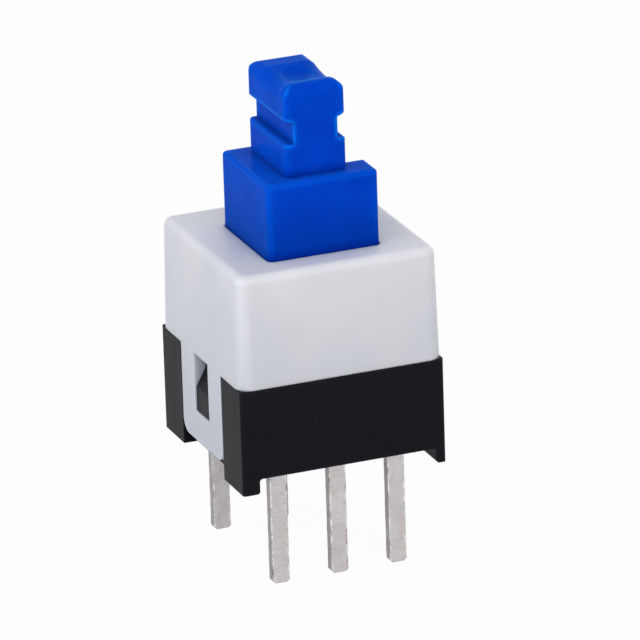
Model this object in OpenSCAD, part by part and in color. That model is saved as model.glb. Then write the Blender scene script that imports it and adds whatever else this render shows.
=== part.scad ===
// Latching push button switch, double pole, for a printed circuit board.
// Millimetres, +Z up. The origin is the middle of the board seating plane,
// under the four feet. The plunger is released and -Y is the front.

/* [Housing] */
// Width of the housing along X
body_w = 8.6; // [8.4:0.05:8.8]
// Depth of the housing along Y
body_d = 8.6; // [8.4:0.05:9]
// Height of the seam between base and cover above the board
seam_z = 4.35; // [4.3:0.05:4.4]
// Radius of the base's upright corners
base_r = 0.12; // [0.1:0.02:0.5]
// Radius of the cover's upright corners at the seam
cover_r = 0.55; // [0.45:0.05:0.6]
// Radius of the cover's top edges
cover_edge_r = 0.34; // [0.2:0.02:0.44]
// Lean of the cover's walls from the seam to the top, each side
cover_lean = 0.1; // [0:0.01:0.15]
// Height of the cover's top above the board
cover_z = 9; // [8.95:0.05:9.3]
// Thickness of the cover's side walls
cover_wall = 0.7; // [0.6:0.05:0.72]
// Thickness of the cover's roof
roof_t = 0.8; // [0.7:0.05:0.85]
// Height of the base's front wall above the board
standoff = 0.62; // [0.5:0.02:0.7]
// Thickness of the base's floor
floor_t = 1.2; // [1.1:0.05:1.25]
// Width of the two left feet along X
foot_left_w = 0.7; // [0.6:0.05:0.8]
// Width of the two right feet along X
foot_right_w = 0.42; // [0.35:0.01:0.6]
// Half width of the chamber in the base along X
chamber_x = 3.1; // [3.08:0.01:3.14]
// Height of the inner walls that carry the terminals
carrier_z = 7.6; // [7.5:0.05:7.8]
// Thickness of the inner walls behind the terminals
carrier_back = 0.1; // [0.06:0.01:0.2]

/* [Snap arms] */
// Half width of a snap arm along Y
arm_y = 2.15; // [2:0.05:2.3]
// Thickness of a snap arm
arm_t = 0.5; // [0.42:0.02:0.54]
// Height of a snap arm's lower edge above the board
arm_z = 0.65; // [0.5:0.05:0.8]
// Radius of a snap arm's lower corners
arm_r = 0.55; // [0.3:0.05:0.6]
// Half width of a snap arm's window
window_y = 0.75; // [0.6:0.05:0.9]
// Height of the window's lower edge above the board
window_z = 1.9; // [1.7:0.05:2.1]
// Depth of the channel in the base's side wall
channel_depth = 0.57; // [0.55:0.01:0.6]
// Height of the flat face of the catch
catch_flat = 1; // [0.8:0.05:1.1]
// Height of the sloped face of the catch
catch_ramp = 0.93; // [0.8:0.05:1.2]

/* [Terminals] */
// Distance between neighbouring terminals
pin_pitch = 2.5; // [2.48:0.01:2.54]
// Distance between the two rows of terminals
row_gap = 6.4; // [6.4:0.05:6.6]
// Width of a terminal's leg
pin_w = 0.7; // [0.6:0.05:0.8]
// Thickness of the terminal strip
pin_t = 0.4; // [0.35:0.01:0.44]
// Length of the legs below the board's top face
pin_len = 4.27; // [3:0.05:5]
// Length of the slope at the end of a leg
pin_tip = 0.1; // [0.05:0.01:0.15]
// Width of a terminal's contact pad inside the switch
pad_w = 1.2; // [1.1:0.05:1.22]
// Height of the contact pads' top
pad_top = 7.2; // [7.1:0.05:7.4]
// Height where the left terminals' pads start
pad_left_z = 5.2; // [5.1:0.05:5.3]
// Height where the right terminals' pads end
pad_right_z = 4.75; // [4.6:0.05:4.8]

/* [Plunger] */
// Width of the plunger's block along X
block_w = 4.68; // [4.6:0.02:4.76]
// Depth of the plunger's block along Y
block_d = 4.95; // [4.7:0.05:5]
// Offset of the block's centre along Y
block_y = -0.42; // [-0.5:0.01:-0.4]
// Height of the block's top above the board
block_z = 12.1; // [11.8:0.05:12.6]
// Radius of the block's upright corners
block_r = 0.22; // [0.2:0.02:0.4]
// Radius of the block's top edges
block_edge_r = 0.16; // [0.06:0.02:0.2]
// Half width of the flange that stops under the roof
flange_x = 3.1; // [2.9:0.05:3.15]
// Thickness of the flange
flange_t = 1.1; // [0.9:0.05:1.15]
// Depth of the skirt along Y
skirt_d = 3.94; // [3.9:0.02:4]
// Diameter of the spring's bore in the plunger
bore_d = 2.2; // [2.15:0.05:2.3]
// Offset of the spring's axis along X
spring_x = -0.25; // [-0.3:0.05:-0.2]
// Height of the top of the spring's bore when released
bore_z = 8.6; // [8.5:0.05:9]
// Depth of the corner cut-out below the block's top
corner_cut_z = 1.9; // [1.4:0.1:2.4]
// Distance from the block's front face to the corner cut-out
corner_cut_front = 1.35; // [1.2:0.05:1.5]
// Length of the corner cut-out along Y
corner_cut_len = 2.8; // [2.2:0.1:3]

/* [Cap head] */
// Width of the cap head along X at its foot
head_w = 2.58; // [2.4:0.02:2.7]
// Lean of the head's sides from foot to top, each side
head_lean = 0.03; // [0:0.01:0.08]
// Depth of the cap head along Y
head_d = 3.94; // [3.7:0.02:4]
// Offset of the head's centre along Y
head_y = -0.31; // [-0.35:0.01:-0.25]
// Height of the head's top above the board
head_z = 15.8; // [15.4:0.1:16.5]
// Radius of the head's left and right top edges
head_edge_r = 0.5; // [0.3:0.05:0.6]
// Radius of the head's front and rear top edges
head_end_r = 0.4; // [0.15:0.05:0.45]
// Radius of the head's upright corners
head_r = 0.24; // [0.14:0.02:0.34]
// Depth of the snap notches in the head's sides
notch_depth = 0.35; // [0.2:0.01:0.4]
// Height of a snap notch's mouth
notch_h = 1; // [0.8:0.05:1.1]
// Height of a snap notch's floor
notch_floor_h = 0.88; // [0.4:0.02:0.95]
// Radius of a snap notch's lower edge
notch_edge_r = 0.12; // [0.06:0.02:0.16]
// Distance from the head's top to the notches
notch_drop = 1.37; // [1.1:0.01:1.5]
// Length along Y of the recess across the head's top
groove_w = 2.25; // [1.2:0.05:2.4]
// Length of the rise behind the recess's lowest line
groove_slope = 1.4; // [0.9:0.05:1.5]
// Offset of that line from the head's centre along Y
groove_y = -0.55; // [-0.6:0.05:-0.4]
// Depth of the recess
groove_depth = 0.18; // [0.08:0.02:0.24]
// Diameter of the dish that the moulding gate leaves
gate_d = 1.24; // [0.7:0.02:1.3]
// Depth of that dish
gate_depth = 0.13; // [0.05:0.01:0.15]
// Offset of the dish from the head's centre along Y
gate_y = -0.23; // [-0.4:0.01:0]

/* [Latch] */
// Travel of the plunger from released to fully pressed
press_travel = 2.2; // [2.1:0.02:2.22]
// Travel at which the plunger stays latched
lock_travel = 1.5; // [1.4:0.05:1.55]
// Diameter of the latch pin's wire
wire_d = 0.4; // [0.34:0.02:0.42]
// Bend radius of the latch pin's centre line
wire_bend = 0.3; // [0.25:0.01:0.34]
// Height of the latch pin's pivot above the board
pivot_z = 2.35; // [2.3:0.05:2.4]
// Offset of the latch pin's pivot along Y
pivot_y = -0.2; // [-0.25:0.05:-0.15]
// Distance from the pivot to the latch pin's tip
wire_reach = 3.3; // [3.2:0.05:3.35]
// Sideways swing of the tip to either side of its pivot
tip_swing = 0.55; // [0.5:0.01:0.58]
// Distance of the latch pin's upright leg from the switch's centre
wire_x = 2.82; // [2.8:0.01:2.84]
// Depth of the cam pocket in the plunger's right side
cam_depth = 1.05; // [0.95:0.05:1.1]
// Height of the ramp in the first lane of the cam
cam_ramp = 0.15; // [0.1:0.01:0.18]

/* [Return spring] */
// Outer diameter of the return spring
spring_d = 2; // [1.9:0.02:2.06]
// Diameter of the spring's wire
spring_wire = 0.26; // [0.2:0.02:0.3]
// Number of turns of the return spring
spring_turns = 9; // [7:1:10]

/* [Moving contacts] */
// Thickness of the contact strip
strip_t = 0.15; // [0.1:0.01:0.2]
// Height of the contact strip
strip_h = 1.3; // [1.2:0.05:1.4]
// Width of each wiper
wiper_w = 0.4; // [0.3:0.05:0.5]
// Height of the wipers' middle when released
wiper_z = 6; // [5.95:0.05:6.1]
// Diameter of the rivets that hold the strips
rivet_d = 0.5; // [0.4:0.05:0.6]

/* [Clearances] */
// Gap between the block and the cover's opening, each side
block_gap = 0.06; // [0.05:0.01:0.12]
// Gap between a snap arm and its channel
arm_gap = 0.05; // [0.03:0.01:0.07]
// Gap between the terminals and their pockets
pocket_gap = 0.02; // [0.01:0.01:0.03]
// Gap between the cover and the base's inner walls
carrier_gap = 0.05; // [0.03:0.01:0.08]
// Gap above the flange when released
flange_gap = 0.05; // [0.03:0.01:0.08]
// Gap under the skirt when fully pressed
bottom_gap = 0.08; // [0.05:0.01:0.1]
// Gap between the latch pin and its pivot hole, each side
pivot_gap = 0.03; // [0.02:0.01:0.05]
// Gap between the wipers and the terminals
wiper_gap = 0.05; // [0.03:0.01:0.08]

/* [Hidden] */
$fn = 48;

black_plastic = [0.11, 0.11, 0.13];
white_plastic = [0.84, 0.86, 0.89];
blue_plastic = [0.02, 0.25, 0.78];
tinned = [0.78, 0.77, 0.76];
silvered = [0.86, 0.84, 0.8];
steel = [0.62, 0.63, 0.66];
eps = 0.01;

floor_z = standoff + floor_t;
face_y = row_gap / 2 - pin_t / 2;
groove_r = (pow(groove_slope, 2) + pow(groove_depth, 2)) / (2 * groove_depth);
gate_r = (pow(gate_d / 2, 2) + pow(gate_depth, 2)) / (2 * gate_depth);
carrier_y = face_y + pin_t + carrier_back;
inside_y = carrier_y + carrier_gap;
carrier_x = body_w / 2 - cover_wall - carrier_gap;
channel_x = body_w / 2 - channel_depth;
shoulder_z = standoff + floor_t * 0.65;
front_y = block_y - block_d / 2;
flange_z = cover_z - roof_t - flange_gap;
skirt_z = floor_z + bottom_gap + press_travel;
skirt_x = block_w / 2;
pin_angle = asin(tip_swing / wire_reach);
start_z = pivot_z + wire_reach * cos(pin_angle);
start_y = pivot_y + tip_swing;
full_y = pivot_y - tip_swing;
cam_x = skirt_x - cam_depth;
lane = wire_d / 2 + 0.08;
strip_y = skirt_d / 2 + strip_t;
wiper_reach = face_y - wiper_gap - strip_y;
wiper_r = (strip_h * strip_h / 4 + wiper_reach * wiper_reach) / (2 * wiper_reach);
wiper_x = skirt_x - wiper_w / 2;
spring_len = bore_z - floor_z;

// Rectangle with rounded corners, centred.
module rounded_rect(w, d, r) {
    square([w - 2 * r, d], center = true);
    square([w, d - 2 * r], center = true);
    for (x = [-1, 1], y = [-1, 1])
        translate([x * (w / 2 - r), y * (d / 2 - r)])
            circle(r);
}

// Upright block with rounded corners, a rounded top edge and walls that lean in.
module rounded_block(w, d, h, r, edge, lean = 0) {
    for (side = [0, 1]) {
        mirror([side, 0, 0])
            along_y(r - d / 2, d / 2 - r)
                wall_profile(w / 2, h, edge, lean);
        mirror([0, side, 0])
            along_x(r - w / 2, w / 2 - r)
                wall_profile(d / 2, h, edge, lean);
    }
    for (x = [-1, 1], y = [-1, 1])
        translate([x * (w / 2 - r), y * (d / 2 - r), 0])
            rotate_extrude()
                wall_profile(r, h, edge, lean);
}

// Half section from the middle out to a wall that leans in, with the rounded edge on top.
module wall_profile(reach, h, edge, lean) {
    x = reach - lean - edge;
    polygon([[0, 0], [reach, 0], [reach - lean, h - edge], [x, h - edge], [x, h], [0, h]]);
    translate([x, h - edge])
        intersection() {
            circle(edge);
            square(edge);
        }
}

// Extrude an outline drawn in X and Z along Y, from y0 to y1.
module along_y(y0, y1) {
    translate([0, y1, 0])
        rotate([90, 0, 0])
            linear_extrude(y1 - y0)
                children();
}

// Extrude an outline drawn in Y and Z along X, from x0 to x1.
module along_x(x0, x1) {
    translate([x0, 0, 0])
        rotate([90, 0, 90])
            linear_extrude(x1 - x0)
                children();
}

// Terminal outlines in X and Z: a leg, a shoulder and a contact pad.
module leg_outline(x, g) {
    polygon([[x - pin_w / 2 - g, shoulder_z + eps], [x - pin_w / 2 - g, -pin_len + pin_tip],
             [x - pin_w / 2 + pin_tip - g, -pin_len], [x + pin_w / 2 - pin_tip + g, -pin_len],
             [x + pin_w / 2 + g, -pin_len + pin_tip], [x + pin_w / 2 + g, shoulder_z + eps]]);
}

module pad_outline(column, g) {
    x = column * pin_pitch;
    z1 = column == 1 ? pad_right_z : pad_top;
    if (column == -1) {
        translate([x - pad_w / 2 - g, shoulder_z - g])
            square([pad_w / 3 + 2 * g, pad_top - shoulder_z + g]);
        translate([x - pad_w / 2 - g, shoulder_z - g])
            square([pad_w / 2 + pin_w / 2 + 2 * g, 0.4 + g]);
        translate([x - pad_w / 2 - g, pad_left_z - g])
            square([pad_w + 2 * g, pad_top - pad_left_z + 2 * g]);
    } else {
        translate([x - pad_w / 2 - g, shoulder_z - g])
            square([pad_w + 2 * g, z1 - shoulder_z + 2 * g]);
    }
}

module terminal(column, side) {
    color(tinned)
        mirror([0, side > 0 ? 0 : 1, 0])
            along_y(face_y, face_y + pin_t) {
                leg_outline(column * pin_pitch, 0);
                pad_outline(column, 0);
            }
}

module terminal_front_left() terminal(-1, -1);
module terminal_front_middle() terminal(0, -1);
module terminal_front_right() terminal(1, -1);
module terminal_rear_left() terminal(-1, 1);
module terminal_rear_middle() terminal(0, 1);
module terminal_rear_right() terminal(1, 1);

// Feet under the side walls, with a small round at root and sole.
module foot(w) {
    c = 0.08;
    polygon([[0, 0], [w - c, 0], [w, c], [w, standoff - c], [w + c, standoff], [w + c, standoff + eps],
             [0, standoff + eps]]);
}

module catch_outline() {
    face = body_w / 2 - 0.05;
    z0 = window_z + arm_gap / 2;
    polygon([[channel_x - 0.1, z0], [face, z0], [face, z0 + catch_flat],
             [channel_x, z0 + catch_flat + catch_ramp], [channel_x - 0.1, z0 + catch_flat + catch_ramp]]);
}

module base() {
    color(black_plastic)
        difference() {
            union() {
                difference() {
                    base_shell();
                    for (x = [-1, 1])
                        translate([x * body_w / 2, 0, seam_z / 2])
                            cube([2 * channel_depth, 2 * (arm_y + arm_gap), seam_z + 1], center = true);
                }
                for (side = [0, 1])
                    mirror([side, 0, 0])
                        along_y(-window_y + arm_gap, window_y - arm_gap)
                            catch_outline();
            }
            for (side = [0, 1], column = [-1, 0, 1])
                mirror([0, side, 0])
                    along_y(face_y - eps, face_y + pin_t + pocket_gap) {
                        leg_outline(column * pin_pitch, pocket_gap);
                        pad_outline(column, pocket_gap);
                    }
            translate([chamber_x - eps, pivot_y, pivot_z])
                rotate([0, 90, 0])
                    cylinder(d = wire_d + 2 * pivot_gap, h = 0.4);
        }
}

module base_shell() {
    difference() {
        translate([0, 0, standoff])
            linear_extrude(seam_z - standoff)
                rounded_rect(body_w, body_d, base_r);
        translate([-chamber_x, -face_y, floor_z])
            cube([2 * chamber_x, 2 * face_y, seam_z]);
    }
    intersection() {
        linear_extrude(seam_z)
            rounded_rect(body_w, body_d, base_r);
        along_y(-body_d / 2, body_d / 2) {
            translate([-body_w / 2, 0])
                foot(foot_left_w);
            translate([body_w / 2, 0])
                mirror([1, 0])
                    foot(foot_right_w);
        }
    }
    for (side = [-1, 1])
        translate([-carrier_x, side > 0 ? face_y : -carrier_y, floor_z])
            cube([2 * carrier_x, carrier_y - face_y, carrier_z - floor_z]);
    translate([spring_x, 0, floor_z - eps])
        cylinder(d = spring_d - 2 * spring_wire - 0.12, h = 0.9);
}

module arm_outline() {
    difference() {
        union() {
            translate([-arm_y, arm_z + arm_r])
                square([2 * arm_y, seam_z - arm_z - arm_r + eps]);
            translate([-arm_y + arm_r, arm_z])
                square([2 * (arm_y - arm_r), arm_r + eps]);
            for (y = [-1, 1])
                translate([y * (arm_y - arm_r), arm_z + arm_r])
                    circle(arm_r);
        }
        translate([-window_y, window_z])
            square([2 * window_y, seam_z - window_z]);
    }
}

module cover() {
    color(white_plastic) {
        difference() {
            translate([0, 0, seam_z])
                rounded_block(body_w, body_d, cover_z - seam_z, cover_r, cover_edge_r, cover_lean);
            translate([-body_w / 2 + cover_wall, -inside_y, seam_z - 1])
                cube([body_w - 2 * cover_wall, 2 * inside_y, cover_z - roof_t - seam_z + 1]);
            translate([0, block_y, cover_z - roof_t - 1])
                linear_extrude(roof_t + 2)
                    rounded_rect(block_w + 2 * block_gap, block_d + 2 * block_gap, block_r + block_gap);
        }
        along_x(-body_w / 2, -body_w / 2 + arm_t)
            arm_outline();
        along_x(body_w / 2 - arm_t, body_w / 2)
            arm_outline();
    }
}

// Cam pocket in the plunger's right side, drawn in Y and Z from the tip's start.
module cam_pocket() {
    top = press_travel + lane;
    polygon([[start_y - lane + 0.08, -lane], [start_y + lane, -lane], [start_y + 0.9, 0.75],
             [start_y + 0.9, top], [full_y - lane - 0.12, top]]);
}

// Heart that the tip passes on one side when pressed and on the other when released.
module cam_heart() {
    polygon([[start_y + 0.09, 0.58], [start_y + 0.37, lock_travel - 0.45], [start_y + 0.37, lock_travel + 0.03],
             [start_y + 0.03, lock_travel - 0.27], [start_y - 0.34, lock_travel + 0.03],
             [start_y - 0.41, lock_travel - 0.08], [start_y + 0.03, 0.58]]);
}

// Tooth over the heart's notch that steers the tip to the return lane.
module cam_tooth() {
    top = press_travel + lane;
    polygon([[start_y - 0.77, top + eps], [start_y - 0.21, top - 0.55], [start_y + 0.15, top + eps]]);
}

module cam() {
    translate([0, 0, start_z]) {
        difference() {
            along_x(cam_x, flange_x + 1)
                cam_pocket();
            along_x(cam_x - eps, skirt_x)
                cam_heart();
            along_x(cam_x - eps, skirt_x)
                cam_tooth();
            along_y(full_y - 0.6, start_y - 0.35)
                polygon([[cam_x - eps, 0.4], [cam_x + cam_ramp, press_travel - 0.35],
                         [cam_x - eps, press_travel - 0.35]]);
        }
    }
}

// Head outline seen from the front, with the two snap notches.
module head_front_outline() {
    difference() {
        for (side = [0, 1])
            mirror([side, 0])
                translate([0, block_z])
                    wall_profile(head_w / 2, head_z - block_z, head_edge_r, head_lean);
        for (side = [0, 1])
            mirror([side, 0])
                translate([head_w / 2 - head_lean / 2, head_z - notch_drop - notch_h])
                    notch_outline();
    }
}

// Snap notch: a level lower flank with a rounded edge and a sloped upper flank.
module notch_outline() {
    polygon([[1, 0], [1, notch_h], [0, notch_h], [-notch_depth, notch_floor_h], [-notch_depth, 0]]);
    difference() {
        translate([-notch_edge_r, -notch_edge_r])
            square([1, notch_edge_r + eps]);
        translate([-notch_edge_r, -notch_edge_r])
            circle(notch_edge_r);
        translate([-2 * notch_edge_r, -2 * notch_edge_r])
            square([2 * notch_edge_r, notch_edge_r]);
    }
}

// Head outline seen from the side.
module head_side_outline() {
    for (side = [0, 1])
        mirror([side, 0])
            translate([0, block_z])
                wall_profile(head_d / 2, head_z - block_z, head_end_r, 0);
}

// Foot of the head inside the block, then the head with the recess and the dish in its top.
module head() {
    translate([0, head_y, 0]) {
        translate([0, 0, block_z - 0.5])
            linear_extrude(0.5 + eps)
                rounded_rect(head_w, head_d, head_r);
        difference() {
            intersection() {
                translate([0, 0, block_z])
                    linear_extrude(head_z - block_z + 1)
                        rounded_rect(head_w, head_d, head_r);
                along_y(-head_d, head_d)
                    head_front_outline();
                along_x(-head_w, head_w)
                    head_side_outline();
            }
            recess();
            translate([0, gate_y, head_z - groove_depth - gate_depth + gate_r])
                sphere(gate_r);
        }
    }
}

// Saddle across the head's top: its front outline swept on an arc, up to a lip at the front.
module recess() {
    intersection() {
        translate([0, groove_y, head_z - groove_depth + groove_r])
            rotate([0, 90, 0])
                rotate_extrude()
                    recess_outline();
        translate([-head_w, groove_y + groove_slope - groove_w, head_z - 1])
            cube([2 * head_w, groove_w + 1, 2]);
    }
}

// What the sweep takes off: the head's outline, lying on its side, stays below it.
module recess_outline() {
    h = head_z - block_z;
    reach = head_w / 2 + head_lean * groove_depth / (h - head_edge_r);
    difference() {
        translate([0, -head_w])
            square([groove_r + head_edge_r, 2 * head_w]);
        for (side = [0, 1])
            mirror([0, side])
                translate([groove_r + h, 0])
                    rotate(90)
                        wall_profile(reach, h, head_edge_r, head_lean);
    }
}

module rivets(side) {
    for (x = [-1, 1])
        translate([x * skirt_x / 2, side * (skirt_d / 2 - 0.2), wiper_z])
            rotate([-side * 90, 0, 0])
                cylinder(d = rivet_d, h = 0.2 + strip_t + 0.08);
}

module plunger() {
    color(blue_plastic)
        difference() {
            union() {
                translate([0, block_y, flange_z - flange_t])
                    rounded_block(block_w, block_d, block_z - flange_z + flange_t, block_r, block_edge_r);
                head();
                translate([-flange_x, front_y, flange_z - flange_t])
                    cube([2 * flange_x, block_d, flange_t]);
                translate([-skirt_x, -skirt_d / 2, skirt_z])
                    cube([block_w, skirt_d, flange_z - skirt_z - eps]);
                rivets(-1);
                rivets(1);
            }
            translate([spring_x, 0, skirt_z - 1])
                cylinder(d = bore_d, h = bore_z - skirt_z + 1);
            cam();
            translate([skirt_x, full_y - 0.45, flange_z - flange_t - eps])
                cube([2, 2 * tip_swing + 0.9, flange_t + 2 * eps]);
            translate([head_w / 2, front_y + corner_cut_front, block_z - corner_cut_z])
                cube([block_w, corner_cut_len, corner_cut_z + 1]);
        }
}

// Bridging contact: a riveted strip with three bowed wipers.
module moving_contact() {
    difference() {
        translate([-skirt_x, skirt_d / 2, wiper_z - strip_h / 2])
            cube([block_w, strip_t, strip_h]);
        for (x = [-1, 1])
            translate([x * skirt_x / 2, 0, wiper_z])
                rotate([-90, 0, 0])
                    cylinder(d = rivet_d, h = skirt_d);
    }
    for (x = [-1, 0, 1])
        translate([x * wiper_x - wiper_w / 2, 0, 0])
            wiper();
}

module wiper() {
    difference() {
        translate([0, strip_y + wiper_reach - wiper_r, wiper_z])
            rotate([0, 90, 0])
                difference() {
                    cylinder(r = wiper_r, h = wiper_w);
                    translate([0, 0, -1])
                        cylinder(r = wiper_r - strip_t * 0.8, h = wiper_w + 2);
                }
        translate([-1, -skirt_d, wiper_z - wiper_r - 1])
            cube([wiper_w + 2, skirt_d + strip_y - strip_t / 2, 2 * wiper_r + 2]);
    }
}

module contact_front() {
    color(silvered)
        mirror([0, 1, 0])
            moving_contact();
}

module contact_rear() {
    color(silvered)
        moving_contact();
}

// Bent wire: the lower leg turns in the side wall, the tip runs in the cam.
module latch_pin() {
    tip_x = cam_x + cam_ramp + 0.08;
    color(steel)
        translate([0, pivot_y, pivot_z])
            rotate([-pin_angle, 0, 0]) {
                translate([wire_x + wire_bend, 0, 0])
                    rotate([0, 90, 0])
                        cylinder(d = wire_d, h = chamber_x + 0.34 - wire_x - wire_bend);
                translate([wire_x, 0, wire_bend])
                    cylinder(d = wire_d, h = wire_reach - 2 * wire_bend);
                translate([tip_x, 0, wire_reach])
                    rotate([0, 90, 0])
                        cylinder(d = wire_d, h = wire_x - wire_bend - tip_x);
                translate([wire_x + wire_bend, 0, wire_bend])
                    rotate([90, 0, 0])
                        rotate([0, 0, 180])
                            rotate_extrude(angle = 90)
                                translate([wire_bend, 0])
                                    circle(d = wire_d);
                translate([wire_x - wire_bend, 0, wire_reach - wire_bend])
                    rotate([90, 0, 0])
                        rotate_extrude(angle = 90)
                            translate([wire_bend, 0])
                                circle(d = wire_d);
            }
}

// Compression spring with closed ends, swept as one wire.
module return_spring() {
    steps = 24;
    sides = 8;
    n = spring_turns * steps;
    r = spring_d / 2 - spring_wire / 2;
    rise = spring_len - spring_wire;
    function height(t) = spring_wire * min(t, 1)
        + (rise - 2 * spring_wire) * max(0, min(1, (t - 1) / (spring_turns - 2)))
        + spring_wire * max(0, t - spring_turns + 1);
    points = [for (i = [0:n]) for (j = [0:sides - 1])
        let (turn = i / steps, a = 360 * turn, b = 360 * j / sides, q = r + spring_wire / 2 * cos(b))
        [q * cos(a), q * sin(a), height(turn) + spring_wire / 2 * (1 + sin(b))]];
    skin = [for (i = [0:n - 1]) for (j = [0:sides - 1])
        let (k = (j + 1) % sides)
        [i * sides + j, (i + 1) * sides + j, (i + 1) * sides + k, i * sides + k]];
    color(steel)
        translate([spring_x, 0, floor_z])
            polyhedron(points, concat([[for (j = [0:sides - 1]) j]], skin,
                [[for (j = [0:sides - 1]) n * sides + sides - 1 - j]]), convexity = 10);
}

base();
cover();
plunger();
latch_pin();
return_spring();
contact_front();
contact_rear();
terminal_front_left();
terminal_front_middle();
terminal_front_right();
terminal_rear_left();
terminal_rear_middle();
terminal_rear_right();
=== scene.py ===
import bpy
import math
from mathutils import Matrix, Vector


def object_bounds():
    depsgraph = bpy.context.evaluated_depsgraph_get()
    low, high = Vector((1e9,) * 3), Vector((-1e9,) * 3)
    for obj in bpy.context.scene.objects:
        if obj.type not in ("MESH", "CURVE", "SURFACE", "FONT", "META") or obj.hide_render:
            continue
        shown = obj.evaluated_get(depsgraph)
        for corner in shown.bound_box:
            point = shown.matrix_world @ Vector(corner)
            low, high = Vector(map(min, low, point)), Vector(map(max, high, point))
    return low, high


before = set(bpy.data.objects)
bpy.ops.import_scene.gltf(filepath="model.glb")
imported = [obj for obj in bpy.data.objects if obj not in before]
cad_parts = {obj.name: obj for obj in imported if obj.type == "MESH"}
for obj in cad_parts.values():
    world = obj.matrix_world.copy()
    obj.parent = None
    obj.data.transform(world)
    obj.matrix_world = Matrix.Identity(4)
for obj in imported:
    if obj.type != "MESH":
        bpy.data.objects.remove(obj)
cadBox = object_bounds()
print("frame loaded:", len(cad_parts), "nodes")

mm = 0.001  # a millimetre in metres: finishes are sized in millimetres, the studio in metres


# Node trees. A pattern is its patches' width, detail and roughness, and a span is two values
# between which something sets in.

def newTree(name):
    material = bpy.data.materials.new(name)
    material.use_nodes = True
    tree = material.node_tree
    tree.nodes.clear()
    return material, tree


def addNode(tree, kind, inputs=None, **settings):
    node = tree.nodes.new(kind)
    for key, value in settings.items():
        setattr(node, key, value)
    for key, value in (inputs or {}).items():
        if isinstance(value, bpy.types.NodeSocket):
            tree.links.new(value, node.inputs[key])
        else:
            node.inputs[key].default_value = value
    return node


def coordinates(tree):
    return addNode(tree, "ShaderNodeTexCoord").outputs["Object"]


def stretched(tree, vector, scale):
    return addNode(tree, "ShaderNodeMapping", {"Vector": vector, "Scale": scale}).outputs["Vector"]


def noise(tree, vector, pattern):
    width, detail, rough = pattern
    return addNode(tree, "ShaderNodeTexNoise", {
        "Vector": vector, "Scale": 1.0 / (width * mm), "Detail": detail, "Roughness": rough}).outputs["Fac"]


def remap(tree, value, span, result):
    return addNode(tree, "ShaderNodeMapRange", {
        "Value": value, "From Min": span[0], "From Max": span[1],
        "To Min": result[0], "To Max": result[1]}).outputs["Result"]


def calculate(tree, operation, first, second):
    return addNode(tree, "ShaderNodeMath", {0: first, 1: second}, operation=operation).outputs["Value"]


def blend(tree, factor, first, second):
    # the mix node's colour sockets share their names with others, so they go by number
    return addNode(tree, "ShaderNodeMix", {0: factor, 6: first, 7: second}, data_type="RGBA").outputs[2]


def layer(tree, color, value, span, share, tone):
    # where the value goes through the span, up to this share of the tone covers the colour
    return blend(tree, remap(tree, value, span, (0.0, share)), color, tone)


def bumped(tree, height, depth, normal):
    return addNode(tree, "ShaderNodeBump", {
        "Height": height, "Distance": depth * mm, "Normal": normal}).outputs["Normal"]


raySamples = 6  # rays that feel out a soft edge or an open face
outerSpan = (0.80, 0.95)  # openness over which an edge comes to count as an outer one


def softEdges(tree, radius):
    return addNode(tree, "ShaderNodeBevel", {"Radius": radius * mm}, samples=raySamples).outputs["Normal"]


def openness(tree, reach):
    # 1 on open faces, less in corners that face each other
    return addNode(tree, "ShaderNodeAmbientOcclusion", {
        "Distance": reach * mm}, samples=raySamples).outputs["AO"]


def edgeMask(tree, radius, gain, clear):
    # 0 on flat faces and in inner corners, towards 1 on outer edges, and sooner with more gain
    plain = addNode(tree, "ShaderNodeNewGeometry").outputs["Normal"]
    alike = addNode(tree, "ShaderNodeVectorMath", {0: softEdges(tree, radius), 1: plain},
                    operation="DOT_PRODUCT").outputs["Value"]
    bent = remap(tree, alike, (1.0, 1.0 - 1.0 / gain), (0.0, 1.0))
    return calculate(tree, "MULTIPLY", bent, remap(tree, clear, outerSpan, (0.0, 1.0)))


def finishTree(tree, shader):
    addNode(tree, "ShaderNodeOutputMaterial", {"Surface": shader.outputs["BSDF"]})


# Moulded plastics. Shade lies in wide waves, the tone darkens towards the bottom between two
# heights as painted shade, outer edges are paler as a painted highlight, creases darker as painted
# shade, and a few dust specks stick to the moulding.

coverLook = {
    "color": (0.695, 0.698, 0.718, 1), "shade": (0.640, 0.650, 0.688, 1),
    # painted shade: a darker tone towards the bottom, its share, and the heights in mm where it sets in
    "foot": (0.500, 0.515, 0.570, 1), "footShare": 0.9, "footFade": (8.4, 0.8),
    # painted highlight: a paler tone on outer edges, its share, the width in mm, and how soon it sets in
    "edge": (0.710, 0.710, 0.725, 1), "edgeShare": 0.3, "edgeWidth": 0.50, "edgeGain": 3.5,
    # painted shade in creases; the cover's bluish tone is also painted light thrown from the plunger
    "creaseShade": (0.500, 0.560, 0.640, 1), "speckSpan": (0.76, 0.79), "speckShare": 0.25,
    "wave": (2.6, 2.0, 0.5), "waveDepth": 0.008, "grain": (0.07, 5.0, 0.6), "grainDepth": 0.0018,
    "rough": (0.36, 0.46), "bevel": 0.08, "specular": 0.40, "tint": (1.0, 1.0, 1.0, 1),
    "glow": 0.45, "glowRadius": (0.9, 0.9, 1.0), "sheen": 0.0, "sheenTint": (1, 1, 1, 1),
}

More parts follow.
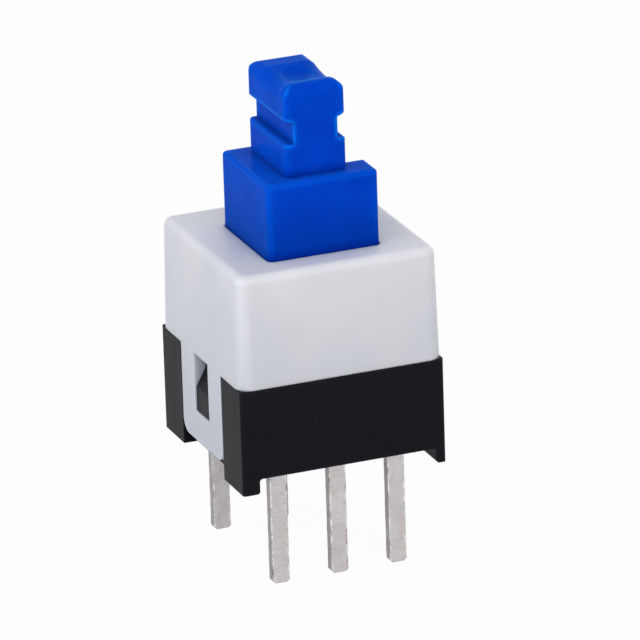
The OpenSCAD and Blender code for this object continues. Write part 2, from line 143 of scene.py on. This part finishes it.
baseLook = {
    "color": (0.0048, 0.0048, 0.0078, 1), "shade": (0.0036, 0.0036, 0.0056, 1),
    "foot": (0.0028, 0.0028, 0.0048, 1), "footShare": 0.5, "footFade": (4.3, 0.0),
    "edge": (0.014, 0.014, 0.018, 1), "edgeShare": 0.5, "edgeWidth": 0.24, "edgeGain": 5.0,
    "creaseShade": (0.0029, 0.0029, 0.0045, 1), "speckSpan": (0.74, 0.77), "speckShare": 0.10,
    "wave": (2.0, 2.0, 0.5), "waveDepth": 0.004, "grain": (0.09, 5.0, 0.6), "grainDepth": 0.0020,
    "rough": (0.40, 0.47), "bevel": 0.12, "specular": 0.10, "tint": (0.90, 0.84, 1.0, 1),
    "glow": 0.0, "glowRadius": (0.2, 0.2, 0.2), "sheen": 0.0, "sheenTint": (1, 1, 1, 1),
}

plungerLook = {
    "color": (0.0010, 0.056, 0.570, 1), "shade": (0.0006, 0.042, 0.470, 1),
    "foot": (0.0006, 0.028, 0.300, 1), "footShare": 0.8, "footFade": (11.4, 8.9),
    "edge": (0.002, 0.200, 0.900, 1), "edgeShare": 0.9, "edgeWidth": 0.34, "edgeGain": 6.0,
    "creaseShade": (0.0004, 0.0140, 0.2600, 1), "speckSpan": (0.75, 0.78), "speckShare": 0.30,
    "wave": (1.8, 2.0, 0.5), "waveDepth": 0.006, "grain": (0.08, 5.0, 0.6), "grainDepth": 0.0015,
    "rough": (0.17, 0.23), "bevel": 0.13, "specular": 0.005, "tint": (0.02, 0.35, 1.0, 1),
    "glow": 0.30, "glowRadius": (0.05, 0.3, 1.0), "sheen": 0.17, "sheenTint": (0.03, 0.50, 1.0, 1),
}

# what the three mouldings share
mouldingLook = {
    "waveSpan": (0.35, 0.7), "creaseShadeReach": 0.5, "creaseShadeSpan": (0.9, 0.35),
    "smear": (0.9, 3.0, 0.6), "smearStretch": (1.0, 1.0, 0.35), "smearSpan": (0.3, 0.7),
    "speck": (0.16, 2.0, 0.5), "speckTone": (0.30, 0.29, 0.28, 1),
    "glowDepth": 0.6, "sheenRough": 0.5, "ior": 1.5,
}


def plastic(name, look):
    shared = mouldingLook
    material, tree = newTree(name)
    place = coordinates(tree)
    wave = noise(tree, place, look["wave"])
    grain = noise(tree, place, look["grain"])
    smear = noise(tree, stretched(tree, place, shared["smearStretch"]), shared["smear"])
    speck = noise(tree, place, shared["speck"])
    height = addNode(tree, "ShaderNodeSeparateXYZ", {"Vector": place}).outputs["Z"]
    footFade = [z * mm for z in look["footFade"]]
    # how open the surface is: it sets where the painted shade in creases falls and keeps the painted
    # highlight off inner corners
    clear = openness(tree, shared["creaseShadeReach"])
    edges = edgeMask(tree, look["edgeWidth"], look["edgeGain"], clear)
    color = layer(tree, look["color"], wave, shared["waveSpan"], 1.0, look["shade"])
    # painted shade: the colour darkens towards the bottom between the two heights
    color = layer(tree, color, height, footFade, look["footShare"], look["foot"])
    # painted highlight: a paler tone laid over the outer edges
    color = blend(tree, calculate(tree, "MULTIPLY", edges, look["edgeShare"]), color, look["edge"])
    # painted shade: inner corners and creases, where the surface is less open, take the darker tone
    color = layer(tree, color, clear, shared["creaseShadeSpan"], 1.0, look["creaseShade"])
    color = layer(tree, color, speck, look["speckSpan"], look["speckShare"], shared["speckTone"])
    rough = remap(tree, smear, shared["smearSpan"], look["rough"])
    normal = softEdges(tree, look["bevel"])
    normal = bumped(tree, wave, look["waveDepth"], normal)
    normal = bumped(tree, grain, look["grainDepth"], normal)
    shader = addNode(tree, "ShaderNodeBsdfPrincipled", {
        "Base Color": color, "Roughness": rough, "Normal": normal, "IOR": shared["ior"],
        "Specular IOR Level": look["specular"], "Specular Tint": look["tint"],
        "Subsurface Weight": look["glow"], "Subsurface Radius": look["glowRadius"],
        "Subsurface Scale": shared["glowDepth"] * mm, "Sheen Weight": look["sheen"],
        "Sheen Roughness": shared["sheenRough"], "Sheen Tint": look["sheenTint"]})
    finishTree(tree, shader)
    return material


# Metals. Dull and warm tarnish come first, then streaks of old flux and finger marks, and pits.
# Burrs on sheared edges are painted as near-white glints, with the stain tone between them, and
# the rim is how the metal looks when it is seen at a grazing angle.

terminalLook = {
    "color": (0.645, 0.622, 0.645, 1), "dull": (0.510, 0.486, 0.486, 1),
    "warm": (0.620, 0.538, 0.505, 1), "warmShare": 0.95,
    "stain": (0.160, 0.110, 0.070, 1), "stainShare": 0.50,
    "pit": (0.10, 0.075, 0.055, 1), "pitSpan": (0.685, 0.735),
    # painted glints: the near-white tone laid on the burrs of outer edges
    "glintTone": (1.0, 0.98, 0.94, 1), "sparkle": 1.0, "edgeWidth": 0.17, "rim": (0.24, 0.23, 0.26, 1),
    "streak": (1.0, 1.0, 0.20), "rough": (0.36, 0.54), "bevel": 0.05, "dent": 0.020, "lineDepth": 0.004,
}

springLook = {
    "color": (0.560, 0.560, 0.575, 1), "dull": (0.430, 0.430, 0.440, 1),
    "warm": (0.560, 0.545, 0.530, 1), "warmShare": 0.3,
    "stain": (0.40, 0.37, 0.34, 1), "stainShare": 0.2,
    "pit": (0.20, 0.19, 0.18, 1), "pitSpan": (0.75, 0.80),
    "glintTone": (0.80, 0.80, 0.80, 1), "sparkle": 0.2, "edgeWidth": 0.02, "rim": (0.8, 0.8, 0.8, 1),
    "streak": (1.0, 1.0, 3.0), "rough": (0.22, 0.38), "bevel": 0.02, "dent": 0.006, "lineDepth": 0.0012,
}

latchPinLook = {
    "color": (0.520, 0.520, 0.530, 1), "dull": (0.400, 0.395, 0.390, 1),
    "warm": (0.520, 0.500, 0.480, 1), "warmShare": 0.3,
    "stain": (0.36, 0.34, 0.32, 1), "stainShare": 0.2,
    "pit": (0.16, 0.15, 0.14, 1), "pitSpan": (0.73, 0.78),
    "glintTone": (0.80, 0.80, 0.80, 1), "sparkle": 0.2, "edgeWidth": 0.02, "rim": (0.8, 0.8, 0.8, 1),
    "streak": (3.0, 1.0, 0.3), "rough": (0.24, 0.40), "bevel": 0.02, "dent": 0.006, "lineDepth": 0.0012,
}

contactLook = {
    "color": (0.720, 0.690, 0.640, 1), "dull": (0.560, 0.500, 0.420, 1),
    "warm": (0.700, 0.600, 0.480, 1), "warmShare": 0.4,
    "stain": (0.40, 0.30, 0.20, 1), "stainShare": 0.3,
    "pit": (0.20, 0.15, 0.11, 1), "pitSpan": (0.73, 0.78),
    "glintTone": (0.86, 0.83, 0.78, 1), "sparkle": 0.3, "edgeWidth": 0.03, "rim": (0.8, 0.8, 0.8, 1),
    "streak": (0.2, 1.0, 1.0), "rough": (0.26, 0.42), "bevel": 0.03, "dent": 0.006, "lineDepth": 0.0012,
}

# what all the metal pieces share
metalLook = {
    "cloud": (0.8, 4.0, 0.6), "cloudSpan": (0.4, 0.7), "dullShare": 0.8,
    "tarnish": (0.42, 6.0, 0.75), "tarnishSpan": (0.50, 0.62),
    "grain": (0.06, 3.0, 0.7), "grainSpan": (0.48, 0.64),
    "mark": (0.40, 5.0, 0.7), "markSpan": (0.62, 0.74),
    "hollow": (0.22, 3.0, 0.6), "hollowShare": 0.6,
    "chip": (0.20, 4.0, 0.65), "chipStretch": (1.0, 1.0, 0.45),
    "burrSpan": (0.49, 0.57), "gapSpan": (0.43, 0.36), "edgeGain": 8.0, "edgeReach": 0.2,
    "line": (0.10, 3.0, 0.6), "lineSpan": (0.3, 0.7),
}


def metal(name, look):
    shared = metalLook
    material, tree = newTree(name)
    place = coordinates(tree)
    drawn = stretched(tree, place, look["streak"])
    cloud = noise(tree, place, shared["cloud"])
    tarnish = noise(tree, place, shared["tarnish"])
    grain = noise(tree, place, shared["grain"])
    mark = noise(tree, drawn, shared["mark"])
    hollow = noise(tree, place, shared["hollow"])
    chip = noise(tree, stretched(tree, place, shared["chipStretch"]), shared["chip"])
    line = noise(tree, drawn, shared["line"])
    edges = edgeMask(tree, look["edgeWidth"], shared["edgeGain"], openness(tree, shared["edgeReach"]))
    burrGlints = calculate(tree, "MULTIPLY", edges, remap(tree, chip, shared["burrSpan"], (0.0, look["sparkle"])))
    gaps = calculate(tree, "MULTIPLY", edges, remap(tree, chip, shared["gapSpan"], (0.0, look["sparkle"])))
    color = layer(tree, look["color"], cloud, shared["cloudSpan"], shared["dullShare"], look["dull"])
    color = layer(tree, color, tarnish, shared["tarnishSpan"], look["warmShare"], look["warm"])
    color = layer(tree, color, grain, shared["grainSpan"], shared["dullShare"], look["dull"])
    color = layer(tree, color, mark, shared["markSpan"], look["stainShare"], look["stain"])
    color = layer(tree, color, hollow, look["pitSpan"], shared["hollowShare"], look["pit"])
    # painted glints: near-white dots on the burrs of outer edges
    color = blend(tree, burrGlints, color, look["glintTone"])
    color = blend(tree, gaps, color, look["stain"])
    rough = remap(tree, line, shared["lineSpan"], look["rough"])
    normal = softEdges(tree, look["bevel"])
    normal = bumped(tree, cloud, look["dent"], normal)
    normal = bumped(tree, line, look["lineDepth"], normal)
    shader = addNode(tree, "ShaderNodeBsdfPrincipled", {
        "Base Color": color, "Roughness": rough, "Normal": normal, "Metallic": 1.0,
        "Specular Tint": look["rim"]})
    finishTree(tree, shader)
    return material


def finishNodes():
    finishes = {
        "cover": plastic("coverPlastic", coverLook),
        "base": plastic("basePlastic", baseLook),
        "plunger": plastic("plungerPlastic", plungerLook),
        "terminal": metal("tinnedBrass", terminalLook),
        "return_spring": metal("springSteel", springLook),
        "latch_pin": metal("latchSteel", latchPinLook),
        "contact": metal("contactBronze", contactLook),
    }
    for name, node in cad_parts.items():
        # a node's name starts with its kind, as in terminal_front_left
        kind = next(start for start in finishes if name.startswith(start))
        node.data.materials.clear()
        node.data.materials.append(finishes[kind])


finishNodes()
print("materials on the CAD nodes")


# Camera. The target shows at targetPixel of a square view, at this many pixels to a metre.

cameraLook = {
    "azimuth": 21.31, "elevation": 20.32, "roll": 1.88, "distance": 0.300,
    "target": (0.0, 0.0, 0.00435), "targetPixel": (301.5, 341.3), "pixelsPerMetre": 25239.0,
    "viewSize": 640.0, "sensor": 36.0, "clip": (0.01, 10.0),
}


def outwards(look):
    # away from the switch, with the azimuth in degrees from its front (-Y) towards its left (-X)
    azimuth, elevation = math.radians(look["azimuth"]), math.radians(look["elevation"])
    return Vector((
        -math.sin(azimuth) * math.cos(elevation), -math.cos(azimuth) * math.cos(elevation),
        math.sin(elevation)))


def makeCamera():
    look = cameraLook
    back = outwards(look)
    right = (-back).cross(Vector((0, 0, 1))).normalized()
    down = (-back).cross(right)
    roll = math.radians(look["roll"])
    turnedRight = math.cos(roll) * right + math.sin(roll) * down
    turnedDown = -math.sin(roll) * right + math.cos(roll) * down
    middle = look["viewSize"] / 2
    offsetX, offsetY = [(pixel - middle) / look["pixelsPerMetre"] for pixel in look["targetPixel"]]
    place = Vector(look["target"]) - offsetX * turnedRight - offsetY * turnedDown + look["distance"] * back
    data = bpy.data.cameras.new("viewCamera")
    data.sensor_width = look["sensor"]
    data.lens = look["pixelsPerMetre"] * look["distance"] * look["sensor"] / look["viewSize"]
    data.clip_start, data.clip_end = look["clip"]
    camera = bpy.data.objects.new("viewCamera", data)
    turn = Matrix((turnedRight, -turnedDown, back)).transposed()
    camera.matrix_world = Matrix.Translation(place) @ turn.to_4x4()
    bpy.context.scene.collection.objects.link(camera)
    bpy.context.scene.camera = camera


makeCamera()
print("camera placed")


# Floor and light

def backdropRays(tree, glossShare=1.0):
    # what sees the white backdrop: the camera, and a share of the mirrored and refracted rays
    path = addNode(tree, "ShaderNodeLightPath").outputs
    gloss = calculate(tree, "MAXIMUM", path["Is Glossy Ray"], path["Is Transmission Ray"])
    return calculate(tree, "MAXIMUM", path["Is Camera Ray"], calculate(tree, "MULTIPLY", gloss, glossShare))


floorLook = {
    "size": 1.2, "color": (0.78, 0.78, 0.79, 1), "patch": (0.74, 0.74, 0.75, 1), "pattern": (6.0, 2.0, 0.5),
    "white": (1, 1, 1, 1), "shadow": 0.04, "glossShare": 0.55,
}


def makeFloor():
    look = floorLook
    half = look["size"] / 2
    z = cadBox[0][2]  # the tips of the terminals
    outline = [(-half, -half, z), (half, -half, z), (half, half, z), (-half, half, z)]
    mesh = bpy.data.meshes.new("floor")
    mesh.from_pydata(outline, [], [(0, 1, 2, 3)])
    floor = bpy.data.objects.new("floor", mesh)
    bpy.context.scene.collection.objects.link(floor)
    material, tree = newTree("paleFloor")
    tone = blend(tree, noise(tree, coordinates(tree), look["pattern"]), look["color"], look["patch"])
    paper = addNode(tree, "ShaderNodeBsdfDiffuse", {"Color": tone})
    white = addNode(tree, "ShaderNodeEmission", {"Color": look["white"], "Strength": 1.0})
    share = calculate(tree, "MULTIPLY", backdropRays(tree, look["glossShare"]), 1.0 - look["shadow"])
    mixed = addNode(tree, "ShaderNodeMixShader", {
        0: share, 1: paper.outputs["BSDF"], 2: white.outputs["Emission"]})
    addNode(tree, "ShaderNodeOutputMaterial", {"Surface": mixed.outputs["Shader"]})
    mesh.materials.append(material)


worldLook = {"white": (1, 1, 1, 1), "around": (0.94, 0.96, 1.0, 1), "strength": 0.49}


def makeWorld():
    look = worldLook
    world = bpy.data.worlds.new("studio")
    world.use_nodes = True
    tree = world.node_tree
    tree.nodes.clear()
    around = addNode(tree, "ShaderNodeBackground", {"Color": look["around"], "Strength": look["strength"]})
    white = addNode(tree, "ShaderNodeBackground", {"Color": look["white"], "Strength": 1.0})
    mixed = addNode(tree, "ShaderNodeMixShader", {
        0: backdropRays(tree), 1: around.outputs["Background"], 2: white.outputs["Background"]})
    addNode(tree, "ShaderNodeOutputWorld", {"Surface": mixed.outputs["Shader"]})
    bpy.context.scene.world = world


# square panels, with power in watts
lamps = {
    "leftPanel": {
        "azimuth": 75, "elevation": 24, "distance": 0.30,
        "size": 0.24, "power": 0.41, "color": (0.95, 0.975, 1.0)},
    "frontPanel": {
        "azimuth": 0, "elevation": 22, "distance": 0.34,
        "size": 0.24, "power": 0.43, "color": (1.0, 0.985, 0.95)},
    "topPanel": {
        "azimuth": 20, "elevation": 80, "distance": 0.30,
        "size": 0.22, "power": 0.11, "color": (0.97, 0.98, 1.0)},
    "backPanel": {
        "azimuth": 245, "elevation": 20, "distance": 0.34,
        "size": 0.20, "power": 0.20, "color": (1.0, 1.0, 1.0)},
}
lampTarget = (0, 0, 0.006)  # near the middle of the switch


def makeLamps():
    for name, look in lamps.items():
        away = outwards(look)
        data = bpy.data.lights.new(name, "AREA")
        data.shape = "SQUARE"
        data.size = look["size"]
        data.energy = look["power"]
        data.color = look["color"]
        lamp = bpy.data.objects.new(name, data)
        lamp.location = Vector(lampTarget) + look["distance"] * away
        lamp.rotation_euler = (-away).to_track_quat("-Z", "Y").to_euler()
        bpy.context.scene.collection.objects.link(lamp)


makeFloor()
makeWorld()
makeLamps()
bpy.context.scene.view_settings.view_transform = "Standard"
print("floor and light made")
